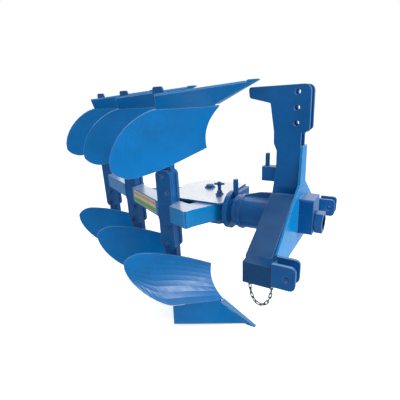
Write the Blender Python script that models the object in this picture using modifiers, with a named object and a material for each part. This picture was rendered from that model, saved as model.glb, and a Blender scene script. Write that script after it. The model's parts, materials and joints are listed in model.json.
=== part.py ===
"""Three-furrow turnover (reversible) mouldboard plough for a three-point hitch.

Metres, +Z up, +X forward towards the tractor, +Y to the left. While the pieces are made, x = 0 is the line of
the lower hitch pins, y = 0 the turnover axis and z = 0 the ground. At the end the root empty is moved along X,
so that the origin lies under the middle of the whole plough. The turnover axis is an empty that carries all
that turns.
"""

import math

import bmesh
import bpy
from mathutils import Matrix, Vector

# Fits
GAP = 0.0003                 # between pieces that are welded or bolted together
SHAFT_CLEARANCE = 0.0005     # radial, between the turning shaft and its bearings

# Layout of the plough
AXIS_HEIGHT = 0.667          # turnover axis above the ground, with the lower bodies standing on it
BODY_STEP = 0.462            # each body stands this far behind the one before it
BODY_OFFSET = 0.225          # and this far to its left
TIP_X = -0.261               # share tip of the front bodies
TIP_Y = -0.070
POSITIONS = ("front", "middle", "rear")

# Soil-working surface: straight level lines, which slide up a round directrix and turn as they rise
DIRECTRIX_RADIUS = 0.488
DIRECTRIX_START = math.radians(35.0)     # slope of the surface at ground level
EDGE_START = Vector((-0.050, -0.030))    # where the surface meets the ground beside the point, from the tip
EDGE_ANGLE = math.radians(36.0)          # plan angle of the cutting edge to the direction of travel
LINE_ANGLE = math.radians(37.0)          # plan angle of the level lines at the ground
LINE_TWIST = math.radians(13.9)          # and how much it grows for each metre of height
PLATE = 0.010                            # thickness of mouldboard and share
SHIN_Y = -0.010                          # the mouldboard's front edge stands in this plane, from the tip
SHIN_FLARE = 0.040                       # and its top reaches this far ahead of it, along the level line

# Mouldboard outline, by length along the level lines and height
BOARD_LENGTH = 0.470
SEAM_HEIGHT = 0.111
SHIN_HEIGHT = 0.320
TOP_RISE = 0.591             # slope of the top edge at the shin
TOP_FALL = 0.652             # and how fast it bends down along the board
TOP_ROUND = 0.10             # length of the rounded upper rear corner
WING_SEAM = 0.310            # where the seam to the share ends
WING_HEIGHT = 0.385          # height of the rearmost point
CORNER_POWER = 1.75          # superellipse of the two rear corners
BOARD_COLUMNS = 18
BOARD_ROWS = 9

# Share, from the tip
SHARE_GAP = 0.0010
SHARE_NOSE = Vector((-0.028, -0.012, 0.008))
SHARE_WING = Vector((-0.398, -0.270, 0.050))
SHARE_STEPS = 6

# Reversible point bar
BAR_INNER_Y = -0.030
BAR_OUTER_Y = 0.015
BAR_LENGTH = 0.220           # measured level
BAR_SLOPE = 0.438
BAR_DEPTH = 0.026
BAR_NOSE = 0.004
BAR_NOSE_WIDTH = 0.018       # the bar narrows to this at its tip

# Landside
LANDSIDE_THICK = 0.012
LANDSIDE_FRONT = -0.236
LANDSIDE_LENGTH = 0.385
LANDSIDE_HEIGHT = 0.105
LANDSIDE_LIFT = 0.046        # of its lower edge, ahead of the heel
HEEL_LENGTH = 0.060          # the heel runs on the furrow's floor

# Leg: frog behind the mouldboard, shank up to the beam, bracket of two cheeks round the shank
LEG_X = -0.5125              # middle of the shank, from the tip
LEG_Y = -0.075
SHANK_LENGTH = 0.088         # along the direction of travel
SHANK_THICK = 0.038
SHANK_LOW = 0.120
FROG_LOW = 0.060
FROG_TOP = 0.300
FROG_PAD = 0.016             # the plate that lies against the back of the mouldboard
FROG_PAD_OUTER = -0.140
FROG_WEB = 0.020             # the web from that plate to the shank
FROG_SLICES = 7
FROG_GAP = 0.0011            # behind the mouldboard, whose back is only nearly parallel to its face
FROG_BLOCK_TOP = 0.150       # the block that carries the landside and the point bar
FROG_BLOCK_LOW = 0.028
FROG_BLOCK_FRONT = -0.165
FROG_BLOCK_SHOULDER = -0.312
FROG_BLOCK_REAR = -0.370
CHEEK = 0.021
CHEEK_LENGTH = 0.100
CHEEK_REACH = 0.235          # from the axis to a cheek's end
CHEEK_ROUND = 0.030

# Frame
BEAM = 0.096                 # square section
FRAME_CORNER = Vector((-0.618, -0.195))
HEAD_JOIN = Vector((-0.520, -0.020))
FAR_CORNER = Vector((-0.520, 0.270))
BRACE_JOIN = 0.62            # where the brace meets the beam, between the front leg and the middle leg
DECK_THICK = 0.012
DECK_CORNERS = (             # x, y in plan, round the plate from its near front corner
    (-0.480, -0.098), (-0.462, -0.080), (-0.462, 0.080), (-0.500, 0.150),
    (-0.500, 0.330), (-0.790, 0.330), (-0.870, 0.180), (-0.810, -0.098),
)
PIVOT_BOLT = Vector((-0.673, 0.162))
PIVOT_BOLT_RADIUS = 0.016
PIVOT_HEAD_RADIUS = 0.024
PIVOT_HEAD = 0.018

# Turning head and shaft
HEAD_FRONT = -0.385
HEAD_REAR = -0.585
HEAD_DISC_RADIUS = 0.105
HEAD_DISC = 0.024
HEAD_NECK_RADIUS = 0.070
SHAFT_RADIUS = 0.035
SHAFT_FRONT = 0.030
NUT_RADIUS = 0.056
NUT_LENGTH = 0.036
STOP_PIN_RADIUS = 0.014
STOP_PIN_TOP = 0.175         # above the axis

# Headstock
MAST_REAR = -0.190
MAST_FRONT = -0.080
TOP_LINK_SLOT = 0.052        # a category II top link's ball
MAST_PLATE = 0.014
MAST_TOP = 1.303
MAST_FOOT = 0.800
TOP_HOLE_RADIUS = 0.0130
TOP_HOLE_X = -0.105
TOP_HOLE_LOW = 1.138
TOP_HOLE_PITCH = 0.067
HUB_HALF = 0.100
HUB_LOW = 0.550
BEARING_RADIUS = 0.087
BEARING_REAR = -0.380
BEARING_FLANGE_RADIUS = 0.095
BEARING_FLANGE = 0.018
RIB_HEIGHT = 0.036
CAP_HALF = 0.066             # front bearing block
CAP_LOW = -0.052             # its lower and upper face, from the axis
CAP_TOP = 0.124
CAP_LENGTH = 0.070
FRONT_PLATE = 0.012
FRONT_PLATE_TOP = 1.034
LEG_SHOULDER = 0.855         # where the sloping legs leave the mast
LEG_FOOT = 0.640             # top of the foot box
FOOT_LOW = 0.545
FOOT_OUT = 0.4755
FOOT_IN = 0.360
FOOT_FRONT = -0.058
FOOT_REAR = -0.178

# Lower hitch clevises, category II
HITCH_HALF = 0.4375          # from the middle to the middle of each clevis
CLEVIS_SLOT = 0.052
CLEVIS_PLATE = 0.014
CLEVIS_FRONT = 0.034
CLEVIS_TOP = 0.657
CLEVIS_LOW = 0.556
CLEVIS_HOLE_Z = 0.604
CLEVIS_HOLE_RADIUS = 0.0145

# Rear bracket on the mast
BRACKET_REAR = -0.266
BRACKET_LOW = 0.856
BRACKET_TOP = 0.928
BRACKET_HALF = 0.026
BRACKET_PIN_RADIUS = 0.011
BRACKET_PIN_TOP = 0.992

# Safety chain for the hitch pin, hanging from the near foot: its route, from front to back
CHAIN_RADIUS = 0.006
CHAIN_Y = -0.440
CHAIN_FRONT = -0.066
CHAIN_REAR = -0.160
CHAIN_DROP = 0.112
CHAIN_POINTS = 22

BLUE = (0.012, 0.150, 0.420)
LIGHT_BLUE = (0.020, 0.300, 0.640)
DARK_STEEL = (0.030, 0.045, 0.045)


# ---------------------------------------------------------------- helpers

def clear_scene():
    for thing in list(bpy.data.objects):
        bpy.data.objects.remove(thing, do_unlink=True)


def new_collection(name):
    collection = bpy.data.collections.new(name)
    bpy.context.scene.collection.children.link(collection)
    return collection


def paint(name, colour, roughness, metallic):
    material = bpy.data.materials.new(name)
    material.use_nodes = True
    shader = material.node_tree.nodes["Principled BSDF"]
    shader.inputs["Base Color"].default_value = (*colour, 1.0)
    shader.inputs["Roughness"].default_value = roughness
    shader.inputs["Metallic"].default_value = metallic
    return material


def mesh_from(name, build):
    """A mesh that build fills in, given an empty bmesh."""
    work = bmesh.new()
    build(work)
    bmesh.ops.recalc_face_normals(work, faces=work.faces)
    mesh = bpy.data.meshes.new(name)
    work.to_mesh(mesh)
    work.free()
    return mesh


def box_mesh(name, low, high):
    low, high = Vector(low), Vector(high)

    def build(work):
        size = high - low
        place = Matrix.Translation((low + high) / 2) @ Matrix.Diagonal((*size, 1.0))
        bmesh.ops.create_cube(work, size=1.0, matrix=place)

    return mesh_from(name, build)


def cylinder_mesh(name, radius, start, end, sides=32):
    """A cylinder from one point to another."""
    start, end = Vector(start), Vector(end)
    along = end - start

    def build(work):
        turn = Vector((0, 0, 1)).rotation_difference(along).to_matrix().to_4x4()
        place = Matrix.Translation((start + end) / 2) @ turn
        bmesh.ops.create_cone(work, cap_ends=True, segments=sides, radius1=radius, radius2=radius,
                              depth=along.length, matrix=place)

    mesh = mesh_from(name, build)
    mesh.shade_smooth()
    mesh.set_sharp_from_angle(angle=math.radians(35))
    return mesh


def rounded(corners, steps=5):
    """An outline from (a, b, radius) corners, with each corner turned into an arc of its radius."""
    outline = []
    count = len(corners)
    for index, (a, b, radius) in enumerate(corners):
        here = Vector((a, b))
        before = Vector(corners[index - 1][:2]) - here
        after = Vector(corners[(index + 1) % count][:2]) - here
        if radius == 0:
            outline.append(here)
            continue
        half = before.angle(after) / 2
        reach = radius / math.tan(half)
        start = here + before.normalized() * reach
        finish = here + after.normalized() * reach
        centre = here + (before.normalized() + after.normalized()).normalized() * radius / math.sin(half)
        sweep = (start - centre).angle_signed(finish - centre)
        for step in range(steps + 1):
            arm = start - centre
            arm.rotate(Matrix.Rotation(-sweep * step / steps, 2))
            outline.append(centre + arm)
    return outline


def plate_mesh(name, outline, low, high, plane, holes=()):
    """A flat plate from a 2D outline in the plane "xz" (thick along Y), "xy" (along Z) or "yz" (along X).

    Each hole is (a, b, radius)."""
    curve = bpy.data.curves.new(name, "CURVE")
    curve.dimensions = "2D"
    curve.fill_mode = "BOTH"
    curve.extrude = (high - low) / 2
    loops = [outline]
    for a, b, radius in holes:
        angles = [math.tau * step / 20 for step in range(20)]
        loops.append([Vector((a + radius * math.cos(t), b + radius * math.sin(t))) for t in angles])
    for loop in loops:
        spline = curve.splines.new("POLY")
        spline.points.add(len(loop) - 1)
        for point, place in zip(spline.points, loop):
            point.co = (place[0], place[1], 0.0, 1.0)
        spline.use_cyclic_u = True
    flat = bpy.data.objects.new(name, curve)
    bpy.context.scene.collection.objects.link(flat)
    middle = (low + high) / 2
    if plane == "xz":
        turn = Matrix.Translation((0, middle, 0)) @ Matrix.Rotation(math.pi / 2, 4, "X")
    elif plane == "yz":
        swap = Matrix(((0, 0, 1, 0), (1, 0, 0, 0), (0, 1, 0, 0), (0, 0, 0, 1)))
        turn = Matrix.Translation((middle, 0, 0)) @ swap
    else:
        turn = Matrix.Translation((0, 0, middle))
    graph = bpy.context.evaluated_depsgraph_get()
    mesh = bpy.data.meshes.new_from_object(flat.evaluated_get(graph))
    bpy.data.objects.remove(flat)
    work = bmesh.new()
    work.from_mesh(mesh)
    bmesh.ops.remove_doubles(work, verts=work.verts, dist=0.00001)
    bmesh.ops.transform(work, matrix=turn, verts=work.verts)
    bmesh.ops.recalc_face_normals(work, faces=work.faces)
    work.to_mesh(mesh)
    work.free()
    mesh.shade_smooth()
    mesh.set_sharp_from_angle(angle=math.radians(35))
    return mesh


def skin_mesh(name, rings):
    """A closed loft through rings of the same number of points, with flat ends."""

    def build(work):
        rows = [[work.verts.new(point) for point in ring] for ring in rings]
        count = len(rows[0])
        for lower, upper in zip(rows, rows[1:]):
            for index in range(count):
                after = (index + 1) % count
                work.faces.new((lower[index], lower[after], upper[after], upper[index]))
        work.faces.new(rows[0])
        work.faces.new(rows[-1])

    return mesh_from(name, build)


def mirrored(mesh, name):
    """The mesh turned upside down through z = 0."""
    work = bmesh.new()
    work.from_mesh(mesh)
    bmesh.ops.transform(work, matrix=Matrix.Scale(-1, 4, (0, 0, 1)), verts=work.verts)
    bmesh.ops.reverse_faces(work, faces=work.faces)
    flipped = bpy.data.meshes.new(name)
    work.to_mesh(flipped)
    work.free()
    return flipped


class Builder:
    """Makes the objects, in their collections and under their empties."""

    def __init__(self):
        self.parts = new_collection("turnover_plough")
        self.helpers = new_collection("cutters")
        self.helpers.hide_render = True
        self.root = self.empty("plough_root", (0, 0, 0), None)
        self.axis = self.empty("turnover_axis", (0, 0, AXIS_HEIGHT), self.root)

    def empty(self, name, place, parent):
        marker = bpy.data.objects.new(name, None)
        self.parts.objects.link(marker)
        marker.parent = parent
        marker.location = place
        return marker

    def piece(self, name, mesh, parent, colour=BLUE, roughness=0.35, metallic=0.0, place=(0, 0, 0)):
        """One node. The place is in the plough's frame, whichever empty carries the piece."""
        made = bpy.data.objects.new(name, mesh)
        self.parts.objects.link(made)
        made.parent = parent
        base = Vector((0, 0, AXIS_HEIGHT)) if parent is self.axis else Vector((0, 0, 0))
        made.location = Vector(place) - base
        if mesh.materials:
            mesh.materials.clear()
        mesh.materials.append(paint(name, colour, roughness, metallic))
        return made

    def helper(self, name, mesh, parent, place=(0, 0, 0)):
        """A shape that only joins or cuts another."""
        made = self.piece(name, mesh, parent, place=place)
        self.parts.objects.unlink(made)
        self.helpers.objects.link(made)
        made.hide_render = True
        made.display_type = "WIRE"
        return made

    def join(self, target, mesh, parent, operation="UNION", place=(0, 0, 0)):
        label = operation.lower()
        other = self.helper(f"{target.name}_{label}_{len(target.modifiers)}", mesh, parent, place)
        step = target.modifiers.new(label, "BOOLEAN")
        step.operation = operation
        step.object = other
        step.solver = "EXACT"
        return other


# ---------------------------------------------------------------- soil-working surface, from the share tip

def line_angle(height):
    return LINE_ANGLE + LINE_TWIST * height


def directrix(height, depth=0.0):
    """How far the surface has run back at a height, or the surface that lies depth behind it."""
    radius = DIRECTRIX_RADIUS + depth
    cosine = (DIRECTRIX_RADIUS * math.cos(DIRECTRIX_START) - height) / radius
    slope = math.acos(cosine)
    return radius * math.sin(slope) - DIRECTRIX_RADIUS * math.sin(DIRECTRIX_START)


def line_base(height, depth=0.0):
    back = Vector((-math.sin(EDGE_ANGLE), math.cos(EDGE_ANGLE)))
    return EDGE_START + back * directrix(height, depth)


def surface_at_y(y, height, depth=0.0):
    """The point of the surface in the vertical plane y."""
    base = line_base(height, depth)
    run = (base.y - y) / math.sin(line_angle(height))
    return Vector((base.x - run * math.cos(line_angle(height)), y, height))


def surface_along(length, height):
    """The point of the surface at a length along the level line from the shin."""
    start = surface_at_y(SHIN_Y, height)
    angle = line_angle(height)
    return start - length * Vector((math.cos(angle), math.sin(angle), 0.0))


def corner_fall(share):
    """0 to 1 round a rear corner, as share goes from 0 to 1."""
    share = min(max(share, 0.0), 1.0)
    return 1.0 - (1.0 - share ** CORNER_POWER) ** (1.0 / CORNER_POWER)


def board_bottom(length):
    share = (length - WING_SEAM) / (BOARD_LENGTH - WING_SEAM)
    return SEAM_HEIGHT + (WING_HEIGHT - SEAM_HEIGHT) * corner_fall(share)


def board_top(length):
    def edge(at):
        return SHIN_HEIGHT + TOP_RISE * at - TOP_FALL * at * at

    share = 1.0 - (BOARD_LENGTH - length) / TOP_ROUND
    return edge(length) - (edge(BOARD_LENGTH) - WING_HEIGHT) * corner_fall(share)


def sheet_mesh(name, point, columns, rows):
    """An open curved sheet through point(s, t), where s runs backwards and t upwards."""
    work = bmesh.new()
    grid = []
    for column in range(columns + 1):
        grid.append([work.verts.new(point(column / columns, row / rows)) for row in range(rows + 1)])
    for left, right in zip(grid, grid[1:]):
        for row in range(rows):
            work.faces.new((left[row], left[row + 1], right[row + 1], right[row]))
    work.normal_update()
    mesh = bpy.data.meshes.new(name)
    work.to_mesh(mesh)
    work.free()
    mesh.shade_smooth()
    return mesh


def thicken(made, thickness):
    solid = made.modifiers.new("thickness", "SOLIDIFY")
    solid.thickness = thickness
    solid.offset = -1.0
    solid.use_even_offset = True


def board_point(s, t):
    # the last column stops just short of the rearmost point, where top and bottom edges would meet
    length = BOARD_LENGTH * (1.0 - 0.004) * math.sin(s * math.pi / 2) ** 0.85
    low, high = board_bottom(length), board_top(length)
    height = low + (high - low) * t
    rise = max(height - SEAM_HEIGHT, 0.0) / (SHIN_HEIGHT - SEAM_HEIGHT)
    flare = SHIN_FLARE * min(rise, 1.0) ** 2 * (1.0 - length / BOARD_LENGTH) ** 4
    return surface_along(length - flare, height)


def share_point(s, t):
    nose_top = surface_at_y(SHIN_Y, SEAM_HEIGHT - SHARE_GAP)
    wing_top = surface_along(WING_SEAM, SEAM_HEIGHT - SHARE_GAP)
    edge = SHARE_NOSE.lerp(SHARE_WING, s)
    seam = nose_top.lerp(wing_top, s)
    return edge.lerp(seam, t)


def bar_mesh(name):
    top = BAR_LENGTH * BAR_SLOPE + BAR_NOSE
    profile = [(0.0, BAR_NOSE), (-BAR_LENGTH, top), (-BAR_LENGTH, top - BAR_DEPTH),
               (-(BAR_DEPTH - BAR_NOSE) / BAR_SLOPE, 0.0), (-BAR_NOSE / 2, 0.0)]
    bar = plate_mesh(name, profile, BAR_INNER_Y, BAR_OUTER_Y, "xz")
    for vertex in bar.vertices:
        if vertex.co.x > -BAR_NOSE and vertex.co.y > BAR_INNER_Y + BAR_NOSE_WIDTH:
            vertex.co.y = BAR_INNER_Y + BAR_NOSE_WIDTH
    return bar


def landside_mesh(name):
    rear = LANDSIDE_FRONT - LANDSIDE_LENGTH
    heel = rear + HEEL_LENGTH
    corners = [(LANDSIDE_FRONT, LANDSIDE_LIFT, 0.0), (LANDSIDE_FRONT, LANDSIDE_HEIGHT, 0.012),
               (rear, LANDSIDE_HEIGHT, 0.020), (rear, 0.0, 0.012), (heel, 0.0, 0.006),
               (heel + LANDSIDE_LIFT / 2, LANDSIDE_LIFT, 0.010)]
    return plate_mesh(name, rounded(corners), 0.0, LANDSIDE_THICK, "xz")


def frog_pad_slice(height):
    """A level section of the plate that lies along the back of the mouldboard."""
    inner = BAR_INNER_Y - 0.006
    front = PLATE + FROG_GAP
    return [surface_at_y(inner, height, front), surface_at_y(FROG_PAD_OUTER, height, front),
            surface_at_y(FROG_PAD_OUTER, height, front + FROG_PAD),
            surface_at_y(inner, height, front + FROG_PAD)]


def frog_web_slice(height):
    """A level section of the web between that plate and the shank."""
    inner, outer = LEG_Y + FROG_WEB / 2, LEG_Y - FROG_WEB / 2
    front = PLATE + FROG_GAP + FROG_PAD / 2
    rear = LEG_X - SHANK_LENGTH / 2 + 0.010
    return [surface_at_y(inner, height, front), surface_at_y(outer, height, front),
            Vector((rear, outer, height)), Vector((rear, inner, height))]


def frog_loft(name, level_section, low, high):
    heights = [low + (high - low) * step / FROG_SLICES for step in range(FROG_SLICES + 1)]
    return skin_mesh(name, [level_section(height) for height in heights])


def shank_mesh(name):
    half = SHANK_LENGTH / 2
    low = (LEG_X - half, LEG_Y - SHANK_THICK / 2, SHANK_LOW)
    high = (LEG_X + half, LEG_Y + SHANK_THICK / 2, AXIS_HEIGHT - BEAM / 2 - GAP)
    return box_mesh(name, low, high)


def frog_block_mesh(name):
    """The part of the frog that the landside and the point bar are bolted to."""

    def under_bar(x):
        return -x * BAR_SLOPE + BAR_NOSE - BAR_DEPTH - 2 * GAP

    bar_end = -BAR_LENGTH
    profile = [(FROG_BLOCK_FRONT, FROG_BLOCK_LOW), (FROG_BLOCK_FRONT, under_bar(FROG_BLOCK_FRONT)),
               (bar_end, under_bar(bar_end)), (FROG_BLOCK_SHOULDER, under_bar(bar_end)),
               (FROG_BLOCK_SHOULDER, FROG_BLOCK_TOP), (FROG_BLOCK_REAR, FROG_BLOCK_TOP),
               (FROG_BLOCK_REAR, FROG_BLOCK_LOW)]
    return plate_mesh(name, profile, BAR_INNER_Y - 0.010, -GAP, "xz")


# ---------------------------------------------------------------- plough bodies

def tip_of(index):
    return Vector((TIP_X - index * BODY_STEP, TIP_Y + index * BODY_OFFSET, 0.0))


def leg_of(index):
    return tip_of(index) + Vector((LEG_X, LEG_Y, 0.0))


def plough_body(builder, position, index, level):
    """Mouldboard, share, point bar, landside and leg of one body. An upper one is a lower one turned over."""
    upper = level == "upper"
    place = tip_of(index) + Vector((0, 0, 2 * AXIS_HEIGHT if upper else 0.0))

    def finished(name, mesh):
        return mirrored(mesh, name) if upper else mesh

    label = f"{position}_{level}"
    board_name, share_name, bar_name = f"{label}_mouldboard", f"{label}_share", f"{label}_point_bar"
    board = sheet_mesh(board_name, board_point, BOARD_COLUMNS, BOARD_ROWS)
    made = builder.piece(board_name, finished(board_name, board), builder.axis, BLUE, 0.3, 0.0, place)
    thicken(made, PLATE)
    share = sheet_mesh(share_name, share_point, SHARE_STEPS, 2)
    made = builder.piece(share_name, finished(share_name, share), builder.axis, BLUE, 0.3, 0.0, place)
    thicken(made, PLATE)
    bar_room = box_mesh(f"{share_name}_cut", (-0.5, BAR_INNER_Y - GAP, -0.1), (0.1, 0.1, 0.3))
    builder.join(made, finished(bar_room.name, bar_room), builder.axis, "DIFFERENCE", place)
    bar = finished(bar_name, bar_mesh(bar_name))
    builder.piece(bar_name, bar, builder.axis, LIGHT_BLUE, 0.35, 0.0, place)
    landside_name = f"{label}_landside"
    landside = finished(landside_name, landside_mesh(landside_name))
    builder.piece(landside_name, landside, builder.axis, BLUE, 0.35, 0.0, place)
    leg_name = f"{label}_leg"
    shank = finished(leg_name, shank_mesh(leg_name))
    leg = builder.piece(leg_name, shank, builder.axis, BLUE, 0.35, 0.0, place)
    shapes = (frog_loft(f"{leg_name}_pad", frog_pad_slice, FROG_LOW, FROG_TOP),
              frog_loft(f"{leg_name}_web", frog_web_slice, FROG_LOW + 0.004, FROG_TOP - 0.004),
              frog_block_mesh(f"{leg_name}_block"))
    for shape in shapes:
        builder.join(leg, finished(shape.name, shape), builder.axis, place=place)


def leg_bracket(builder, position, index):
    """Two cheeks that hold the upper and the lower shank, with the core that the beam is welded to."""
    centre = leg_of(index)
    half = CHEEK_LENGTH / 2
    inner = SHANK_THICK / 2 + GAP
    corners = [(centre.x + side_x * half, AXIS_HEIGHT + side_z * CHEEK_REACH, CHEEK_ROUND)
               for side_x, side_z in ((1, -1), (1, 1), (-1, 1), (-1, -1))]
    outline = rounded(corners)
    name = f"{position}_leg_bracket"
    near = plate_mesh(name, outline, centre.y - inner - CHEEK, centre.y - inner, "xz")
    bracket = builder.piece(name, near, builder.axis)
    far = plate_mesh(f"{name}_far", outline, centre.y + inner, centre.y + inner + CHEEK, "xz")
    builder.join(bracket, far, builder.axis)
    overlap = CHEEK / 2
    core = box_mesh(f"{name}_core",
                    (centre.x - half + 0.002, centre.y - inner - overlap, AXIS_HEIGHT - BEAM / 2),
                    (centre.x + half - 0.002, centre.y + inner + overlap, AXIS_HEIGHT + BEAM / 2))
    builder.join(bracket, core, builder.axis)


def past_bracket(name, index, way):
    """All that lies past a bracket's end: way is 1 to trim a piece behind the bracket, -1 one before it."""
    face = leg_of(index).x - way * (CHEEK_LENGTH / 2 + GAP)
    reach = sorted((face, face + way * BODY_STEP / 2))
    return box_mesh(name, (reach[0], -1.0, AXIS_HEIGHT - BEAM), (reach[1], 1.0, AXIS_HEIGHT + BEAM))


# ---------------------------------------------------------------- frame that turns

def beam_mesh(name, start, end, width=BEAM, lengthen=(0.0, 0.0)):
    """A level box beam round the turnover axis' height, from one plan point to another."""
    start, end = Vector(start).to_2d(), Vector(end).to_2d()
    along = (end - start).normalized()
    side = Vector((-along.y, along.x)) * width / 2
    first, last = start - along * lengthen[0], end + along * lengthen[1]
    outline = [first - side, last - side, last + side, first + side]
    return plate_mesh(name, outline, AXIS_HEIGHT - BEAM / 2, AXIS_HEIGHT + BEAM / 2, "xy")


def head_room(name, grow):
    """The block of the turning head, grown by a gap."""
    half = BEAM / 2 + grow
    return box_mesh(name, (HEAD_REAR - grow, -half, AXIS_HEIGHT - BEAM),
                    (HEAD_FRONT, half, AXIS_HEIGHT + BEAM))


def frame_beams(builder):
    axis = builder.axis
    for index, label in enumerate(("front_beam", "rear_beam")):
        start, end = leg_of(index), leg_of(index + 1)
        beam = builder.piece(label, beam_mesh(label, start, end), axis)
        builder.join(beam, past_bracket(f"{label}_front_cut", index, 1), axis, "DIFFERENCE")
        builder.join(beam, past_bracket(f"{label}_rear_cut", index + 1, -1), axis, "DIFFERENCE")

    near_mesh = beam_mesh("near_cross_member", FRAME_CORNER, HEAD_JOIN, lengthen=(BEAM / 2, 0.0))
    near = builder.piece("near_cross_member", near_mesh, axis)
    stub = beam_mesh("near_stub", FRAME_CORNER, leg_of(0), lengthen=(BEAM / 2, 0.0))
    builder.join(near, stub, axis)
    builder.join(near, past_bracket("near_leg_cut", 0, -1), axis, "DIFFERENCE")
    builder.join(near, head_room("near_head_cut", GAP), axis, "DIFFERENCE")

    far = builder.piece("far_cross_member",
                        beam_mesh("far_cross_member", HEAD_JOIN, FAR_CORNER, lengthen=(0.0, BEAM / 2)), axis)
    builder.join(far, head_room("far_head_cut", GAP), axis, "DIFFERENCE")

    brace_end = leg_of(0).lerp(leg_of(1), BRACE_JOIN)
    brace = builder.piece("rear_brace", beam_mesh("rear_brace", FAR_CORNER, brace_end), axis)
    cross_room = beam_mesh("brace_cross_cut", HEAD_JOIN, FAR_CORNER, BEAM + 2 * GAP, (0.0, BEAM))
    beam_room = beam_mesh("brace_beam_cut", leg_of(0), leg_of(1), BEAM + 2 * GAP)
    for room in (cross_room, beam_room):
        builder.join(brace, taller(room), axis, "DIFFERENCE")
    bolt_hole = cylinder_mesh("brace_bolt_hole", PIVOT_BOLT_RADIUS + GAP, (*PIVOT_BOLT, AXIS_HEIGHT - BEAM),
                              (*PIVOT_BOLT, AXIS_HEIGHT + BEAM), 20)
    builder.join(brace, bolt_hole, axis, "DIFFERENCE")


def taller(mesh):
    """The same shape made higher, so that a cut goes right through."""
    middle = Vector((0, 0, AXIS_HEIGHT))
    grow = Matrix.Translation(middle) @ Matrix.Diagonal((1, 1, 1.5, 1)) @ Matrix.Translation(-middle)
    mesh.transform(grow)
    return mesh


def frame_decks(builder):
    """Plates over and under the frame, with the bolt that the beams swing on when the width is set."""
    outline = [Vector(corner) for corner in DECK_CORNERS]
    hole = (PIVOT_BOLT.x, PIVOT_BOLT.y, PIVOT_BOLT_RADIUS + GAP)
    base = BEAM / 2 + GAP
    for name, side in (("upper_deck_plate", 1), ("lower_deck_plate", -1)):
        faces = sorted((AXIS_HEIGHT + side * base, AXIS_HEIGHT + side * (base + DECK_THICK)))
        deck = plate_mesh(name, outline, faces[0], faces[1], "xy", [hole])
        builder.piece(name, deck, builder.axis)
    end = base + DECK_THICK + GAP
    x, y = PIVOT_BOLT
    bolt = cylinder_mesh("pivot_bolt", PIVOT_BOLT_RADIUS, (x, y, AXIS_HEIGHT - end - PIVOT_HEAD),
                         (x, y, AXIS_HEIGHT + end + PIVOT_HEAD / 2), 20)
    made = builder.piece("pivot_bolt", bolt, builder.axis, DARK_STEEL, 0.45, 0.6)
    for side in (-1, 1):
        head = cylinder_mesh("pivot_bolt_head", PIVOT_HEAD_RADIUS, (x, y, AXIS_HEIGHT + side * end),
                             (x, y, AXIS_HEIGHT + side * (end + PIVOT_HEAD)), 6)
        builder.join(made, head, builder.axis)


def turning_head(builder):
    axis = builder.axis
    half = BEAM / 2
    block = box_mesh("turning_head", (HEAD_REAR, -half, AXIS_HEIGHT - half),
                     (HEAD_FRONT - 3 * HEAD_DISC, half, AXIS_HEIGHT + half))
    head = builder.piece("turning_head", block, axis)
    neck = cylinder_mesh("head_neck", HEAD_NECK_RADIUS, (HEAD_FRONT - 3 * HEAD_DISC - 0.002, 0, AXIS_HEIGHT),
                         (HEAD_FRONT, 0, AXIS_HEIGHT), 36)
    builder.join(head, neck, axis)
    for number, radius in ((0, HEAD_DISC_RADIUS - 0.018), (2, HEAD_DISC_RADIUS)):
        front = HEAD_FRONT - number * HEAD_DISC - GAP
        disc = cylinder_mesh("head_disc", radius, (front - HEAD_DISC, 0, AXIS_HEIGHT),
                             (front, 0, AXIS_HEIGHT), 36)
        builder.join(head, disc, axis)
    pin_x = HEAD_FRONT - HEAD_DISC * 1.5
    pin = cylinder_mesh("stop_pin", STOP_PIN_RADIUS, (pin_x, 0, AXIS_HEIGHT + HEAD_NECK_RADIUS - 0.01),
                        (pin_x, 0, AXIS_HEIGHT + STOP_PIN_TOP), 20)
    builder.join(head, pin, axis)
    bore = cylinder_mesh("head_bore", SHAFT_RADIUS + GAP, (HEAD_REAR - 0.01, 0, AXIS_HEIGHT),
                         (HEAD_FRONT + 0.01, 0, AXIS_HEIGHT), 32)
    builder.join(head, bore, axis, "DIFFERENCE")
    shaft = cylinder_mesh("turnover_shaft", SHAFT_RADIUS, (HEAD_REAR + 0.01, 0, AXIS_HEIGHT),
                          (SHAFT_FRONT, 0, AXIS_HEIGHT), 32)
    builder.piece("turnover_shaft", shaft, axis, DARK_STEEL, 0.4, 0.7)
    front = MAST_FRONT + FRONT_PLATE + CAP_LENGTH + 0.004
    nut = cylinder_mesh("shaft_nut", NUT_RADIUS, (front, 0, AXIS_HEIGHT),
                        (front + NUT_LENGTH, 0, AXIS_HEIGHT), 6)
    made = builder.piece("shaft_nut", nut, axis)
    hole = cylinder_mesh("nut_bore", SHAFT_RADIUS + GAP, (front - 0.02, 0, AXIS_HEIGHT),
                         (front + NUT_LENGTH + 0.02, 0, AXIS_HEIGHT), 32)
    builder.join(made, hole, axis, "DIFFERENCE")


# ---------------------------------------------------------------- headstock

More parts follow.
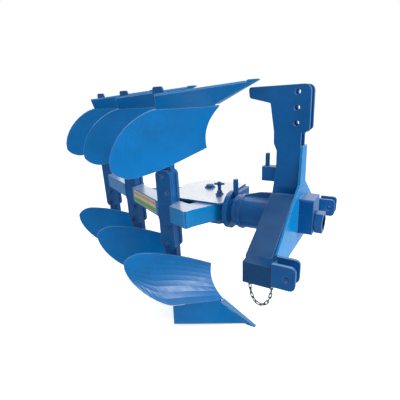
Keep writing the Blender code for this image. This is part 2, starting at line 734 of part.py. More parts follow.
def mast_plates(builder):
    """Two plates that take the top link, each like a hammer with its head forward and its tail backward."""
    corners = [(-0.048, MAST_TOP, 0.030), (-0.332, 1.301, 0.012), (-0.328, 1.253, 0.014),
               (-0.226, 1.228, 0.010), (-0.206, 1.100, 0.030), (-0.205, 1.045, 0.012),
               (MAST_REAR, 1.012, 0.010), (MAST_REAR, 0.930, 0.0), (-0.205, MAST_FOOT, 0.0),
               (MAST_FRONT, MAST_FOOT, 0.0), (MAST_FRONT, 1.095, 0.0), (-0.066, 1.093, 0.006),
               (-0.045, 1.112, 0.012)]
    outline = rounded(corners)
    holes = [(TOP_HOLE_X, TOP_HOLE_LOW + step * TOP_HOLE_PITCH, TOP_HOLE_RADIUS) for step in range(3)]
    inner = TOP_LINK_SLOT / 2
    for name, side in (("right_mast_plate", -1), ("left_mast_plate", 1)):
        faces = sorted((side * inner, side * (inner + MAST_PLATE)))
        mesh = plate_mesh(name, outline, faces[0], faces[1], "xz", holes)
        builder.piece(name, mesh, builder.root)


def mast_hub(builder):
    """The block between the legs, with the long bearing that carries the turning head behind it."""
    root = builder.root
    block = box_mesh("bearing_housing", (MAST_REAR, -HUB_HALF, HUB_LOW),
                     (MAST_FRONT - GAP, HUB_HALF, MAST_FOOT - GAP))
    hub = builder.piece("bearing_housing", block, root)
    tube = cylinder_mesh("bearing_tube", BEARING_RADIUS, (MAST_REAR + 0.02, 0, AXIS_HEIGHT),
                         (BEARING_REAR, 0, AXIS_HEIGHT), 36)
    builder.join(hub, tube, root)
    flange = cylinder_mesh("bearing_flange", BEARING_FLANGE_RADIUS,
                           (BEARING_REAR + BEARING_FLANGE, 0, AXIS_HEIGHT), (BEARING_REAR, 0, AXIS_HEIGHT), 36)
    builder.join(hub, flange, root)
    bore = cylinder_mesh("bearing_bore", SHAFT_RADIUS + SHAFT_CLEARANCE,
                         (BEARING_REAR - 0.01, 0, AXIS_HEIGHT), (0, 0, AXIS_HEIGHT), 32)
    builder.join(hub, bore, root, "DIFFERENCE")
    rib_low, rib_rear = AXIS_HEIGHT + BEARING_RADIUS + GAP, BEARING_REAR + BEARING_FLANGE + GAP
    gusset_outline = [Vector(corner) for corner in (
        (MAST_REAR - GAP, rib_low + RIB_HEIGHT), (MAST_REAR - 0.09, rib_low + RIB_HEIGHT * 0.85),
        (rib_rear, rib_low + RIB_HEIGHT * 0.25), (rib_rear, rib_low), (MAST_REAR - GAP, rib_low))]
    rib = plate_mesh("bearing_rib", gusset_outline, -0.008, 0.008, "xz")
    builder.piece("bearing_rib", rib, root)


def front_plate(builder):
    """The A-shaped plate that closes the headstock in front, and the square front bearing on it."""
    root = builder.root
    mast = TOP_LINK_SLOT / 2 + MAST_PLATE
    half = [(mast, FRONT_PLATE_TOP), (mast + 0.012, LEG_SHOULDER), (FOOT_IN + 0.01, LEG_FOOT),
            (FOOT_IN + 0.01, FOOT_LOW)]
    outline = [Vector((y, z)) for y, z in half] + [Vector((-y, z)) for y, z in reversed(half)]
    low, high = MAST_FRONT + GAP, MAST_FRONT + FRONT_PLATE
    hole = (0.0, AXIS_HEIGHT, SHAFT_RADIUS + SHAFT_CLEARANCE)
    plate = plate_mesh("headstock_front_plate", outline, low, high, "yz", [hole])
    builder.piece("headstock_front_plate", plate, root, LIGHT_BLUE)
    outline = rounded([(CAP_HALF * side, AXIS_HEIGHT + face, 0.012)
                       for side, face in ((1, CAP_LOW), (1, CAP_TOP), (-1, CAP_TOP), (-1, CAP_LOW))])
    cap = plate_mesh("front_bearing", outline, high + GAP, high + CAP_LENGTH, "yz", [hole])
    builder.piece("front_bearing", cap, root)


def headstock_legs(builder):
    """Sloping legs, each with its foot box and the two plates of its hitch clevis."""
    root = builder.root
    for side_name, side in (("right", -1), ("left", 1)):
        name = f"{side_name}_headstock_leg"
        outline = [Vector((side * y, z)) for y, z in (
            (HUB_HALF + GAP, MAST_FOOT + 0.018), (FOOT_IN + 0.055, LEG_FOOT - 0.004),
            (FOOT_IN + 0.055, FOOT_LOW), (HUB_HALF + GAP, HUB_LOW))]
        leg = builder.piece(name, plate_mesh(name, outline, MAST_REAR, MAST_FRONT - GAP, "yz"), root)
        ends = sorted((side * FOOT_IN, side * FOOT_OUT))
        foot = box_mesh(f"{name}_foot", (FOOT_REAR, ends[0], FOOT_LOW), (MAST_FRONT - GAP, ends[1], LEG_FOOT))
        builder.join(leg, foot, root)
        toe_in = FOOT_IN + 0.0105
        ends = sorted((side * toe_in, side * FOOT_OUT))
        toe = box_mesh(f"{name}_toe", (MAST_FRONT - 0.01, ends[0], FOOT_LOW), (FOOT_FRONT, ends[1], LEG_FOOT))
        builder.join(leg, toe, root)
        clevis_plates(builder, side_name, side)


def clevis_plates(builder, side_name, side):
    rear = FOOT_FRONT + GAP
    outline = rounded([(rear, CLEVIS_LOW, 0.0), (CLEVIS_FRONT, CLEVIS_LOW, 0.022),
                       (CLEVIS_FRONT, CLEVIS_TOP, 0.022), (rear, CLEVIS_TOP, 0.0)])
    hole = [(0.0, CLEVIS_HOLE_Z, CLEVIS_HOLE_RADIUS)]
    for place, way in (("inner", -1), ("outer", 1)):
        face = HITCH_HALF + way * CLEVIS_SLOT / 2
        faces = sorted((side * face, side * (face + way * CLEVIS_PLATE)))
        name = f"{side_name}_{place}_clevis_plate"
        builder.piece(name, plate_mesh(name, outline, faces[0], faces[1], "xz", hole), builder.root)


def rear_bracket(builder):
    """The small bracket behind the mast, with its upright pin."""
    root = builder.root
    block = box_mesh("rear_bracket", (BRACKET_REAR, -BRACKET_HALF + GAP, BRACKET_LOW),
                     (MAST_REAR + 0.03, BRACKET_HALF - GAP, BRACKET_TOP))
    made = builder.piece("rear_bracket", block, root)
    x = BRACKET_REAR + 0.020
    pin = cylinder_mesh("bracket_pin", BRACKET_PIN_RADIUS, (x, 0, BRACKET_TOP - 0.01),
                        (x, 0, BRACKET_PIN_TOP), 16)
    builder.join(made, pin, root)


def hitch_chain(builder):
    """The chain of the hitch pin, as the round rope that its links fill."""
    top = FOOT_LOW - GAP
    curve = bpy.data.curves.new("hitch_chain", "CURVE")
    curve.dimensions = "3D"
    curve.bevel_depth = CHAIN_RADIUS
    curve.bevel_resolution = 2
    curve.use_fill_caps = True
    spline = curve.splines.new("POLY")
    spline.points.add(CHAIN_POINTS - 1)
    middle, half = (CHAIN_FRONT + CHAIN_REAR) / 2, (CHAIN_FRONT - CHAIN_REAR) / 2
    for number, point in enumerate(spline.points):
        turn = math.pi * number / (CHAIN_POINTS - 1)
        x = middle + half * math.cos(turn)
        z = top - CHAIN_DROP * math.sin(turn) ** 0.8
        point.co = (x, CHAIN_Y, z, 1.0)
    chain = bpy.data.objects.new("hitch_chain", curve)
    builder.parts.objects.link(chain)
    chain.parent = builder.root
    curve.materials.append(paint("hitch_chain", DARK_STEEL, 0.5, 0.8))


# ---------------------------------------------------------------- assembly

def set_origin_under_middle(builder):
    """Moves the root along X, so that the origin lies under the middle of the plough's box."""
    bpy.context.view_layer.update()
    graph = bpy.context.evaluated_depsgraph_get()
    reach = []
    for thing in builder.parts.objects:
        if thing.type == "EMPTY":
            continue
        solid = thing.evaluated_get(graph)
        mesh = solid.to_mesh()
        reach += [(solid.matrix_world @ vertex.co).x for vertex in mesh.vertices]
        solid.to_mesh_clear()
    builder.root.location.x = -(min(reach) + max(reach)) / 2


def main():
    clear_scene()
    builder = Builder()
    for index, position in enumerate(POSITIONS):
        leg_bracket(builder, position, index)
        for level in ("lower", "upper"):
            plough_body(builder, position, index, level)
    frame_beams(builder)
    frame_decks(builder)
    turning_head(builder)
    mast_plates(builder)
    mast_hub(builder)
    front_plate(builder)
    headstock_legs(builder)
    rear_bracket(builder)
    hitch_chain(builder)
    set_origin_under_middle(builder)


main()
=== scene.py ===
"""Looks of a three-furrow turnover plough: enamel, bolts, welds, chain and studio, round the CAD frame."""

import json
import math
import random

import bmesh
import bpy
from mathutils import Matrix, Vector

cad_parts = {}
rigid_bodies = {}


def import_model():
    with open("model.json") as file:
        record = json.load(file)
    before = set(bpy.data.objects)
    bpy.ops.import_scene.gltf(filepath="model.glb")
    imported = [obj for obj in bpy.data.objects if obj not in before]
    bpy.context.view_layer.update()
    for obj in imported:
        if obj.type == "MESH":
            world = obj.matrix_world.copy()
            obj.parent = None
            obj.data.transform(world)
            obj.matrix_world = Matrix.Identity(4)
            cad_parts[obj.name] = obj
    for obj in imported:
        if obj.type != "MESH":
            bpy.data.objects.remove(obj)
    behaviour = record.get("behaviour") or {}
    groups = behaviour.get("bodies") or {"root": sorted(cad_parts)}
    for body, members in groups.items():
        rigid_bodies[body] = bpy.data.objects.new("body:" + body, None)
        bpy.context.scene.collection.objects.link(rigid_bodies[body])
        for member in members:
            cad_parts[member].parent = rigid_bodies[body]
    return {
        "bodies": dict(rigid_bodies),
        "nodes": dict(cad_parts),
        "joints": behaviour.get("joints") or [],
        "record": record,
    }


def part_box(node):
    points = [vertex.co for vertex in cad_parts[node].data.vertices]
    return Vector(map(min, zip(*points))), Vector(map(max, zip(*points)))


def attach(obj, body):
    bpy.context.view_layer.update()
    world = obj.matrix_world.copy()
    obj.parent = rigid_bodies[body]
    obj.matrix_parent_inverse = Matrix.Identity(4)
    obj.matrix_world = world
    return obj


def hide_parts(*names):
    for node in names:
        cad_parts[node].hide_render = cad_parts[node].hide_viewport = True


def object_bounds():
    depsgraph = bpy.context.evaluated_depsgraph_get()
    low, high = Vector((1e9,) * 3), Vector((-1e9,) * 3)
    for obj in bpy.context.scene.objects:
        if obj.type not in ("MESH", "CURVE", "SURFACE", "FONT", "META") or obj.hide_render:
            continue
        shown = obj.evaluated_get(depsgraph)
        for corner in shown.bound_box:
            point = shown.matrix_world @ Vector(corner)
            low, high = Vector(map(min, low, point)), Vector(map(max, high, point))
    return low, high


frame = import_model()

CAD_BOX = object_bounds()
CAD_BOX_LOW, CAD_BOX_HIGH = Vector(CAD_BOX[0]), Vector(CAD_BOX[1])
POSITIONS = ("front", "middle", "rear")

bl_info = {
    "name": "Turnover Plough Looks",
    "version": (1, 0, 0),
    "blender": (4, 5, 0),
    "location": "View3D > Sidebar > Plough",
    "description": "Paints the turnover plough and adds its bolts, welds, chain, label and studio",
    "category": "Object",
}


def low_high(node):
    low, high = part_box(node)
    return Vector(low), Vector(high)


def middle_of(node):
    low, high = low_high(node)
    return (low + high) / 2


AXIS_HEIGHT = middle_of("turnover_shaft").z


# ---------------------------------------------------------------- settings

class PaintSettings(bpy.types.PropertyGroup):
    frame_colour: bpy.props.FloatVectorProperty(
        name="Frame enamel", description="Blue of the frame, legs and headstock", subtype="COLOR", size=3,
        default=(0.002, 0.105, 0.335), min=0.0, max=1.0)
    board_colour: bpy.props.FloatVectorProperty(
        name="Board enamel", description="Blue of the mouldboards and shares", subtype="COLOR", size=3,
        default=(0.000, 0.200, 0.560), min=0.0, max=1.0)
    bright_colour: bpy.props.FloatVectorProperty(
        name="Bright enamel", description="Lighter blue of the front plate, beams and point bars",
        subtype="COLOR", size=3, default=(0.001, 0.225, 0.560), min=0.0, max=1.0)
    # Painted reflection: level faces on top are painted pale, as if they mirrored the pale surroundings.
    painted_sheen: bpy.props.FloatProperty(
        name="Pale sheen", description="How far the level faces on top mirror the pale surroundings",
        subtype="FACTOR", default=0.90, min=0.0, max=1.0)
    # Painted highlight: plate edges are painted pale, for the light they catch.
    rim_highlight: bpy.props.FloatProperty(
        name="Pale rims", description="How far worn plate edges catch the light", subtype="FACTOR",
        default=0.45, min=0.0, max=1.0)
    chips: bpy.props.FloatProperty(
        name="Chips", description="How much paint is chipped off the edges", subtype="FACTOR",
        default=0.5, min=0.0, max=1.0)
    edge_radius: bpy.props.FloatProperty(
        name="Edge radius", description="Rounding that the light shows on plate edges", unit="LENGTH",
        default=0.003, min=0.0, max=0.02)


class HardwareSettings(bpy.types.PropertyGroup):
    bolt_width: bpy.props.FloatProperty(
        name="Bolt width", description="Across the flats of a leg bolt", unit="LENGTH",
        default=0.027, min=0.005, max=0.08)
    bolt_spacing: bpy.props.FloatProperty(
        name="Bolt spacing", description="Between the two bolts that hold one leg", unit="LENGTH",
        default=0.095, min=0.03, max=0.2)
    weld_radius: bpy.props.FloatProperty(
        name="Weld radius", description="Half the width of a weld bead", unit="LENGTH",
        default=0.0042, min=0.001, max=0.02)
    link_wire: bpy.props.FloatProperty(
        name="Link wire", description="Wire diameter of the safety chain", unit="LENGTH",
        default=0.0048, min=0.001, max=0.02)
    link_pitch: bpy.props.FloatProperty(
        name="Link pitch", description="Inner length of one chain link", unit="LENGTH",
        default=0.0215, min=0.005, max=0.1)


class StudioSettings(bpy.types.PropertyGroup):
    key_power: bpy.props.FloatProperty(
        name="Top light", description="Power of the large light over the plough", unit="POWER",
        default=55.0, min=0.0)
    front_power: bpy.props.FloatProperty(
        name="Front light", description="Power of the light ahead of the plough", unit="POWER",
        default=75.0, min=0.0)
    fill: bpy.props.FloatProperty(
        name="Fill", description="Strength of the even light from all round", default=0.55, min=0.0)
    glint: bpy.props.FloatProperty(
        name="Strip light", description="Power of the strip that glints on the lower front mouldboard",
        unit="POWER", default=50.0, min=0.0)


# ---------------------------------------------------------------- shader groups

def add_node(tree, kind, **values):
    made = tree.nodes.new(kind)
    for name, value in values.items():
        if name.startswith("in_"):
            made.inputs[name[3:].replace("_", " ")].default_value = value
        else:
            setattr(made, name, value)
    return made


def new_group(name, inputs, outputs):
    tree = bpy.data.node_groups.new(name, "ShaderNodeTree")
    for label, kind, value in inputs:
        socket = tree.interface.new_socket(name=label, in_out="INPUT", socket_type=kind)
        socket.default_value = value
    for label, kind in outputs:
        tree.interface.new_socket(name=label, in_out="OUTPUT", socket_type=kind)
    return tree, tree.nodes.new("NodeGroupInput"), tree.nodes.new("NodeGroupOutput")


def noise(tree, place, scale, detail=3.0, rough=0.5):
    made = add_node(tree, "ShaderNodeTexNoise", in_Scale=scale, in_Detail=detail, in_Roughness=rough)
    tree.links.new(place, made.inputs["Vector"])
    return made.outputs["Fac"]


def stretch(tree, value, low, high, to_low=0.0, to_high=1.0):
    """Moves low..high of a value to to_low..to_high, and holds it there."""
    made = add_node(tree, "ShaderNodeMapRange", clamp=True, in_From_Min=low, in_From_Max=high,
                    in_To_Min=to_low, in_To_Max=to_high)
    tree.links.new(value, made.inputs["Value"])
    return made.outputs["Result"]


def maths(tree, operation, first, second):
    made = add_node(tree, "ShaderNodeMath", operation=operation)
    for socket, value in zip(made.inputs, (first, second)):
        if isinstance(value, (int, float)):
            socket.default_value = value
        else:
            tree.links.new(value, socket)
    return made.outputs[0]


def blend_colours(tree, factor, first, second):
    made = add_node(tree, "ShaderNodeMix", data_type="RGBA")
    tree.links.new(factor, made.inputs[0])
    for socket, value in ((made.inputs[6], first), (made.inputs[7], second)):
        if isinstance(value, tuple):
            socket.default_value = value
        else:
            tree.links.new(value, socket)
    return made.outputs[2]


def rounded_normal(tree, radius):
    """A normal that rounds the edges, and a mask that is 1 on them."""
    bevel = add_node(tree, "ShaderNodeBevel", samples=6, in_Radius=radius)
    face = tree.nodes.new("ShaderNodeNewGeometry").outputs["Normal"]
    dot = add_node(tree, "ShaderNodeVectorMath", operation="DOT_PRODUCT")
    tree.links.new(bevel.outputs["Normal"], dot.inputs[0])
    tree.links.new(face, dot.inputs[1])
    edge = stretch(tree, dot.outputs["Value"], 0.995, 0.80)
    return bevel.outputs["Normal"], edge


def enamel_group(radius):
    """Sprayed enamel: cloudy colour, orange peel, chipped edges, dust, painted highlights on the edges and a
    painted reflection of the pale surroundings on level faces.
    """
    tree, given, result = new_group(
        "sprayed_enamel",
        (("Paint", "NodeSocketColor", (0.0, 0.1, 0.4, 1.0)),
         ("Shade", "NodeSocketColor", (0.0, 0.05, 0.2, 1.0)),
         ("Bare", "NodeSocketColor", (0.2, 0.2, 0.2, 1.0)),
         ("Dust", "NodeSocketColor", (0.5, 0.5, 0.45, 1.0)),
         ("Gloss", "NodeSocketFloat", 0.3), ("Chips", "NodeSocketFloat", 0.5),
         ("Dusting", "NodeSocketFloat", 0.1), ("Painted Sheen", "NodeSocketFloat", 0.1),
         ("Painted Light Color", "NodeSocketColor", (0.8, 0.9, 1.0, 1.0)), ("Rim Highlight", "NodeSocketFloat", 0.2)),
        (("Color", "NodeSocketColor"), ("Roughness", "NodeSocketFloat"), ("Metallic", "NodeSocketFloat"),
         ("Height", "NodeSocketFloat"), ("Normal", "NodeSocketVector")))
    place = tree.nodes.new("ShaderNodeTexCoord").outputs["Object"]
    clouds = stretch(tree, noise(tree, place, 5.0, 4.0, 0.6), 0.35, 0.70)
    coat = blend_colours(tree, clouds, given.outputs["Paint"], given.outputs["Shade"])
    normal, edge = rounded_normal(tree, radius)
    flakes = noise(tree, place, 70.0, 6.0, 0.7)
    wear = maths(tree, "MULTIPLY", edge, given.outputs["Chips"])
    chipped = stretch(tree, maths(tree, "ADD", flakes, maths(tree, "MULTIPLY", wear, 0.30)), 0.73, 0.77)
    coat = blend_colours(tree, chipped, coat, given.outputs["Bare"])
    # Painted highlight: plate edges are painted in the pale colour, for the light that catches them.
    coat = blend_colours(tree, maths(tree, "MULTIPLY", edge, given.outputs["Rim Highlight"]), coat,
                         given.outputs["Painted Light Color"])
    specks = stretch(tree, noise(tree, place, 13.0, 6.0, 0.65), 0.45, 0.80)
    dusty = maths(tree, "MULTIPLY", specks, given.outputs["Dusting"])
    coat = blend_colours(tree, dusty, coat, given.outputs["Dust"])
    # Painted reflection: faces that look up are painted pale and made metallic, for the pale surroundings
    # mirrored in them.
    upward = tree.nodes.new("ShaderNodeSeparateXYZ")
    tree.links.new(tree.nodes.new("ShaderNodeNewGeometry").outputs["Normal"], upward.inputs[0])
    level = stretch(tree, upward.outputs["Z"], 0.86, 0.985)
    painted_sheen_mask = maths(tree, "MULTIPLY", level, given.outputs["Painted Sheen"])
    patchy = stretch(tree, noise(tree, place, 9.0, 5.0, 0.6), 0.25, 0.60, 0.88, 1.0)
    painted_sheen_mask = maths(tree, "MULTIPLY", painted_sheen_mask, patchy)
    coat = blend_colours(tree, painted_sheen_mask, coat, given.outputs["Painted Light Color"])
    tree.links.new(coat, result.inputs["Color"])
    smears = stretch(tree, noise(tree, place, 22.0, 5.0, 0.6), 0.3, 0.75, -0.05, 0.12)
    rough = maths(tree, "ADD", given.outputs["Gloss"], smears)
    rough = maths(tree, "ADD", rough, maths(tree, "MULTIPLY", dusty, 0.5))
    rough = maths(tree, "ADD", rough, maths(tree, "MULTIPLY", chipped, 0.25))
    tree.links.new(rough, result.inputs["Roughness"])
    bared = maths(tree, "MULTIPLY", chipped, 0.6)
    mirror = maths(tree, "ADD", bared, maths(tree, "MULTIPLY", painted_sheen_mask, 0.9))
    tree.links.new(mirror, result.inputs["Metallic"])
    peel = maths(tree, "MULTIPLY", noise(tree, place, 240.0, 2.0), 0.25)
    waves = maths(tree, "MULTIPLY", noise(tree, place, 16.0, 2.0), 0.60)
    height = maths(tree, "SUBTRACT", maths(tree, "ADD", peel, waves), maths(tree, "MULTIPLY", chipped, 0.8))
    tree.links.new(height, result.inputs["Height"])
    tree.links.new(normal, result.inputs["Normal"])
    return tree


def steel_group(radius):
    """Turned or forged steel with greasy patches and fine scratches."""
    tree, given, result = new_group(
        "greasy_steel",
        (("Steel", "NodeSocketColor", (0.3, 0.3, 0.3, 1.0)),
         ("Grease", "NodeSocketColor", (0.02, 0.02, 0.02, 1.0)),
         ("Greasing", "NodeSocketFloat", 0.5)),
        (("Color", "NodeSocketColor"), ("Roughness", "NodeSocketFloat"), ("Height", "NodeSocketFloat"),
         ("Normal", "NodeSocketVector")))
    place = tree.nodes.new("ShaderNodeTexCoord").outputs["Object"]
    patches = stretch(tree, noise(tree, place, 30.0, 5.0, 0.6), 0.40, 0.62)
    greasy = maths(tree, "MULTIPLY", patches, given.outputs["Greasing"])
    tree.links.new(blend_colours(tree, greasy, given.outputs["Steel"], given.outputs["Grease"]),
                   result.inputs["Color"])
    rough = stretch(tree, noise(tree, place, 90.0, 4.0), 0.3, 0.7, 0.28, 0.52)
    tree.links.new(rough, result.inputs["Roughness"])
    rings = add_node(tree, "ShaderNodeTexWave", bands_direction="X", in_Scale=160.0, in_Distortion=1.5)
    tree.links.new(place, rings.inputs["Vector"])
    tree.links.new(maths(tree, "MULTIPLY", rings.outputs["Fac"], 0.2), result.inputs["Height"])
    tree.links.new(rounded_normal(tree, radius)[0], result.inputs["Normal"])
    return tree


# ---------------------------------------------------------------- materials

SHADE = 0.78                 # of the paint's own colour, in its darker clouds
SHARE_SHADE = 0.78           # the shares' paint against the mouldboards'
LEG_PAINTED_SHADE = 0.55             # painted shade: the headstock legs' paint darkened against the frame's, for the shade on their sloped faces
BOLT_SHADE = 0.80
BARE_METAL = (0.12, 0.15, 0.17, 1.0)
BLUE_DUST = (0.04, 0.24, 0.42, 1.0)
# Painted light: the pale colour painted on plate edges as a highlight and on level faces as a reflection
PAINTED_LIGHT_COLOUR = (0.93, 0.96, 0.98, 1.0)
GREASE = (0.010, 0.014, 0.014, 1.0)
ENAMEL_BUMP = 0.30
STEEL_BUMP = 0.25
SPECULAR = 0.12
COAT = 0.10


def shaded(colour, share):
    return tuple(channel * share for channel in colour)


def material_with(name, group, values, bump, fixed):
    """A Principled material fed by a group. fixed gives the shader's own constant values."""
    made = bpy.data.materials.new(name)
    made.use_nodes = True
    tree = made.node_tree
    shader = tree.nodes["Principled BSDF"]
    source = tree.nodes.new("ShaderNodeGroup")
    source.node_tree = group
    for label, value in values.items():
        source.inputs[label].default_value = value
    for label in ("Roughness", "Metallic"):
        if label in source.outputs:
            tree.links.new(source.outputs[label], shader.inputs[label])
    tree.links.new(source.outputs["Color"], shader.inputs["Base Color"])
    relief = add_node(tree, "ShaderNodeBump", in_Strength=bump, in_Distance=0.001)
    tree.links.new(source.outputs["Height"], relief.inputs["Height"])
    tree.links.new(source.outputs["Normal"], relief.inputs["Normal"])
    tree.links.new(relief.outputs["Normal"], shader.inputs["Normal"])
    for label, value in fixed.items():
        shader.inputs[label].default_value = value
    return made


def enamel(name, group, colour, gloss, chips, dusting, painted_sheen=0.0, rim_highlight=0.2, coat_roughness=0.12):
    values = {"Paint": (*colour, 1.0), "Shade": (*shaded(colour, SHADE), 1.0), "Bare": BARE_METAL,
              "Dust": BLUE_DUST, "Gloss": gloss, "Chips": chips, "Dusting": dusting, "Painted Sheen": painted_sheen,
              "Painted Light Color": PAINTED_LIGHT_COLOUR, "Rim Highlight": rim_highlight}
    fixed = {"Specular IOR Level": SPECULAR, "Coat Weight": COAT, "Coat Roughness": coat_roughness}
    return material_with(name, group, values, ENAMEL_BUMP, fixed)


def steel(name, group, colour, greasing, metallic):
    values = {"Steel": (*colour, 1.0), "Grease": GREASE, "Greasing": greasing}
    return material_with(name, group, values, STEEL_BUMP, {"Metallic": metallic})


def make_materials(scene):
    paint = scene.plough_paint
    coat = enamel_group(paint.edge_radius)
    metal = steel_group(paint.edge_radius / 2)
    frame, board, bright = tuple(paint.frame_colour), tuple(paint.board_colour), tuple(paint.bright_colour)
    chips, painted_sheen, rim_highlight = paint.chips, paint.painted_sheen, paint.rim_highlight
    # After the dusting, each enamel takes how much pale reflection is painted on its level faces, then how
    # much pale highlight is painted on its edges.
    enamel("frame_enamel", coat, frame, 0.30, chips, 0.10, 0.18)
    # Painted shade: the legs get the frame's blue darkened, for the shade on their faces.
    enamel("leg_painted_shade_enamel", coat, shaded(frame, LEG_PAINTED_SHADE), 0.34, chips, 0.10)
    enamel("board_enamel", coat, board, 0.32, chips * 0.8, 0.08, 0.0, rim_highlight, 0.24)
    enamel("share_enamel", coat, shaded(board, SHARE_SHADE), 0.32, chips, 0.10, 0.0, rim_highlight)
    enamel("bright_enamel", coat, bright, 0.28, chips, 0.06, 0.25)
    enamel("beam_enamel", coat, bright, 0.28, chips, 0.06, painted_sheen * 0.85)
    enamel("deck_enamel", coat, frame, 0.24, chips, 0.10, painted_sheen)
    enamel("bolt_enamel", coat, shaded(frame, BOLT_SHADE), 0.30, chips, 0.20)
    steel("shaft_steel", metal, (0.34, 0.36, 0.37), 0.6, 0.9)
    steel("chain_steel", metal, (0.10, 0.13, 0.13), 0.7, 0.8)


def finish_of(node):
    """The material of a CAD node, by what the piece is."""
    if node == "turnover_shaft":
        return "shaft_steel"
    if node == "pivot_bolt":
        return "bolt_enamel"
    # The legs take the darker enamel that paints in their shade.
    if node.endswith("headstock_leg"):
        return "leg_painted_shade_enamel"
    if node.endswith("mouldboard"):
        return "board_enamel"
    if node.endswith("share"):
        return "share_enamel"
    if node in ("near_cross_member", "front_beam", "rear_beam"):
        return "beam_enamel"
    if node.endswith("point_bar") or node == "headstock_front_plate":
        return "bright_enamel"
    if node in ("upper_deck_plate", "lower_deck_plate"):
        return "deck_enamel"
    return "frame_enamel"


# ---------------------------------------------------------------- mesh helpers

def new_piece(name, mesh, material, body):
    made = bpy.data.objects.new(name, mesh)
    bpy.context.scene.collection.objects.link(made)
    mesh.materials.append(bpy.data.materials[material])
    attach(made, body)
    return made


def mesh_of(name, work, angle=35.0):
    bmesh.ops.recalc_face_normals(work, faces=work.faces)
    mesh = bpy.data.meshes.new(name)
    work.to_mesh(mesh)
    work.free()
    mesh.shade_smooth()
    mesh.set_sharp_from_angle(angle=math.radians(angle))
    return mesh


def turn_from_z(direction):
    return Vector((0, 0, 1)).rotation_difference(Vector(direction)).to_matrix().to_4x4()


def add_ring(work, profile, place, sides):
    """A turned solid from (radius, height) pairs along the place's Z, closed at both ends."""
    rows = []
    for radius, height in profile:
        row = []
        for step in range(sides):
            angle = math.tau * step / sides
            point = place @ Vector((radius * math.cos(angle), radius * math.sin(angle), height))
            row.append(work.verts.new(point))
        rows.append(row)
    for lower, upper in zip(rows, rows[1:]):
        for step in range(sides):
            after = (step + 1) % sides
            work.faces.new((lower[step], lower[after], upper[after], upper[step]))
    work.faces.new(rows[0])
    work.faces.new(rows[-1])


def add_hex_bolt(work, at, direction, width, height, thread=0.0):
    """A washer, a chamfered hexagon and, for a nut, the thread that stands out of it."""
    place = Matrix.Translation(at) @ turn_from_z(direction)
    add_ring(work, ((width * 0.92, 0.0), (width * 0.92, 0.0022), (width * 0.86, 0.0030)), place, 24)
    across = width / math.sqrt(3)
    add_ring(work, ((across, 0.0028), (across, height * 0.82), (across * 0.86, height)), place, 6)
    if thread:
        core = width * 0.31
        stud = ((core, height - 0.001), (core, height + thread * 0.8), (core * 0.8, height + thread))
        add_ring(work, stud, place, 14)


def add_weld(work, points, radius, draw):
    """A bead of overlapping ripples along a line of points."""
    for start, end in zip(points, points[1:]):
        start, end = Vector(start), Vector(end)
        along = end - start
        count = max(int(along.length / (radius * 0.85)), 2)
        turn = turn_from_z(along)
        for step in range(count + 1):
            middle = start.lerp(end, step / count)
            swell = radius * (0.88 + 0.24 * draw.random())
            scale = Matrix.Diagonal((swell, swell, swell * 1.25, 1.0))
            bmesh.ops.create_icosphere(work, subdivisions=1, radius=1.0,
                                       matrix=Matrix.Translation(middle) @ turn @ scale)


# ---------------------------------------------------------------- pieces

class PLOUGH_OT_paint(bpy.types.Operator):
    """Makes the materials and puts them on the CAD pieces"""

    bl_idname = "plough.paint"
    bl_label = "Paint Plough"

    def execute(self, context):
        make_materials(context.scene)
        for node, thing in frame["nodes"].items():
            thing.data.materials.clear()
            thing.data.materials.append(bpy.data.materials[finish_of(node)])
        return {"FINISHED"}


LEG_BOLT_INSET = 0.36        # of the bolt spacing, from a cheek's end to its outer bolt
LEG_BOLT_STAGGER = 0.012     # the two bolts of a leg stand this far to either side of its middle
LEG_BOLT_HEAD = 0.015
LEG_NUT = 0.018
LEG_THREAD = 0.010
LANDSIDE_BOLT_PLACES = (0.10, 0.26)      # of the landside's length, from its front
LANDSIDE_BOLT_HEAD = 0.010
LANDSIDE_BOLT_WIDTH = 0.8                # of a leg bolt's width


class PLOUGH_OT_leg_bolts(bpy.types.Operator):
    """Adds the bolts that clamp each leg between the cheeks of its bracket"""

    bl_idname = "plough.leg_bolts"
    bl_label = "Leg Bolts"

    def execute(self, context):
        size = context.scene.plough_hardware
        for position in POSITIONS:
            low, high = low_high(f"{position}_leg_bracket")
            middle = (low + high) / 2
            work = bmesh.new()
            for side in (-1, 1):
                end = side * ((high.z - low.z) / 2 - size.bolt_spacing * LEG_BOLT_INSET)
                for step in (0, 1):
                    z = middle.z + end - side * step * size.bolt_spacing
                    x = middle.x + (LEG_BOLT_STAGGER if step else -LEG_BOLT_STAGGER)
                    add_hex_bolt(work, Vector((x, low.y, z)), (0, -1, 0), size.bolt_width, LEG_BOLT_HEAD)
                    add_hex_bolt(work, Vector((x, high.y, z)), (0, 1, 0), size.bolt_width, LEG_NUT,
                                 LEG_THREAD)
            mesh = mesh_of(f"{position}_leg_bolts", work)
            new_piece(f"{position}_leg_bolts", mesh, "bolt_enamel", "frame")
        return {"FINISHED"}


class PLOUGH_OT_landside_bolts(bpy.types.Operator):
    """Adds the bolts that hold each landside"""

    bl_idname = "plough.landside_bolts"
    bl_label = "Landside Bolts"

    def execute(self, context):
        size = context.scene.plough_hardware
        for position in POSITIONS:
            for level in ("lower", "upper"):
                low, high = low_high(f"{position}_{level}_landside")
                middle = (low + high) / 2
                work = bmesh.new()
                for share in LANDSIDE_BOLT_PLACES:
                    at = Vector((high.x - (high.x - low.x) * share, high.y, middle.z))
                    add_hex_bolt(work, at, (0, 1, 0), size.bolt_width * LANDSIDE_BOLT_WIDTH,
                                 LANDSIDE_BOLT_HEAD)
                mesh = mesh_of(f"{position}_{level}_landside_bolts", work)
                new_piece(mesh.name, mesh, "bolt_enamel", "frame")
        return {"FINISHED"}


